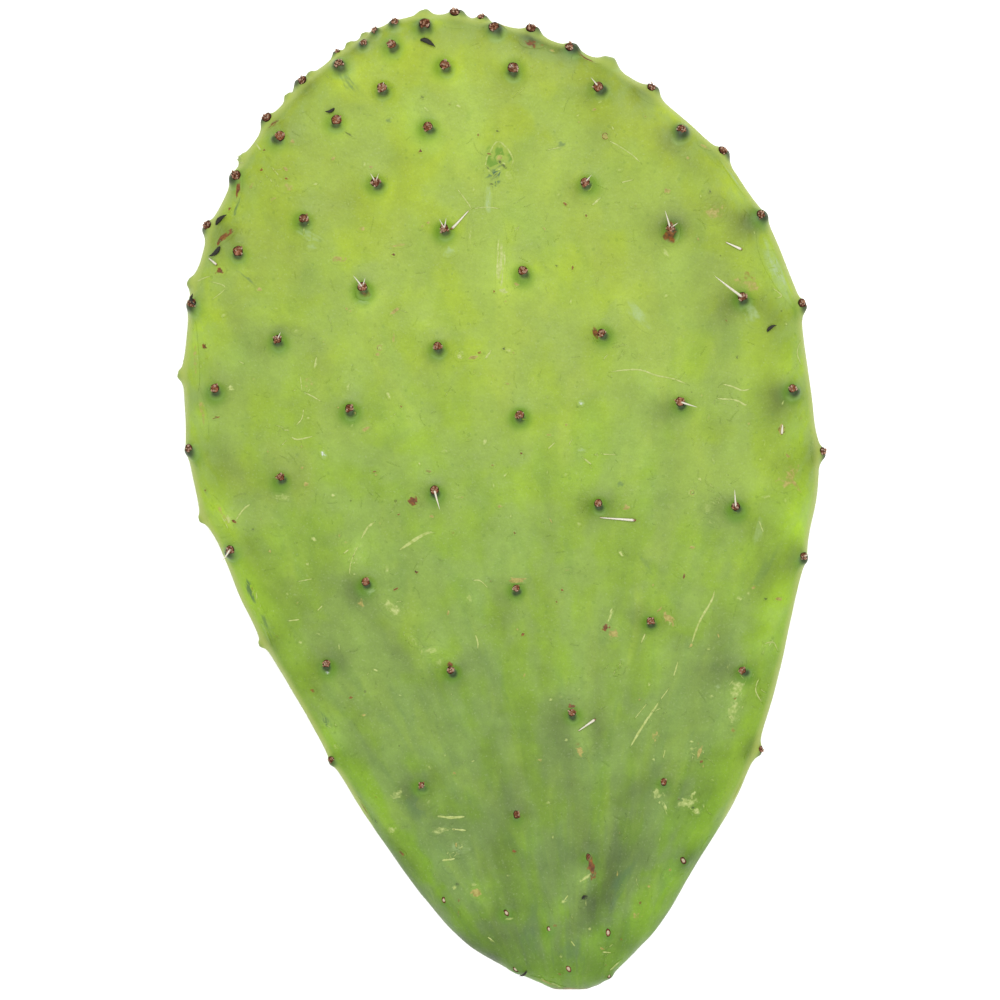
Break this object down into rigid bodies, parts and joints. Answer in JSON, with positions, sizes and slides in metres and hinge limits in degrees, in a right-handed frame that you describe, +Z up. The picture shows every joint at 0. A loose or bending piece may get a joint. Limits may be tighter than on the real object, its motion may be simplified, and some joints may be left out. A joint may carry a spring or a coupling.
{
  "type": "prickly pear cactus pad",
  "caption": "Flat egg-shaped green cactus pad with rows of areole knobs and short white spines on both faces, lying on its back.",
  "frame": {"origin": "under the middle of the pad's bounding box, on the surface that the pad lies on", "axes": "+Z up out of the upper face, +Y along the pad from its broken-off base to its growing tip, +X across it"},
  "size_m": [0.1971, 0.2996, 0.0271],
  "materials": {
    "skin": "waxy green plant skin, yellow-green at the tip and darker grey-green at the base, semi-matt",
    "areole_felt": "short reddish-brown felt, matt",
    "spine": "bone-white spine with a brown base, satin",
    "cork": "dry corky scar tissue and withered leaf remains, matt"
  },
  "bodies": {
    "root": {"pad": "skin"}
  },
  "joints": []
}
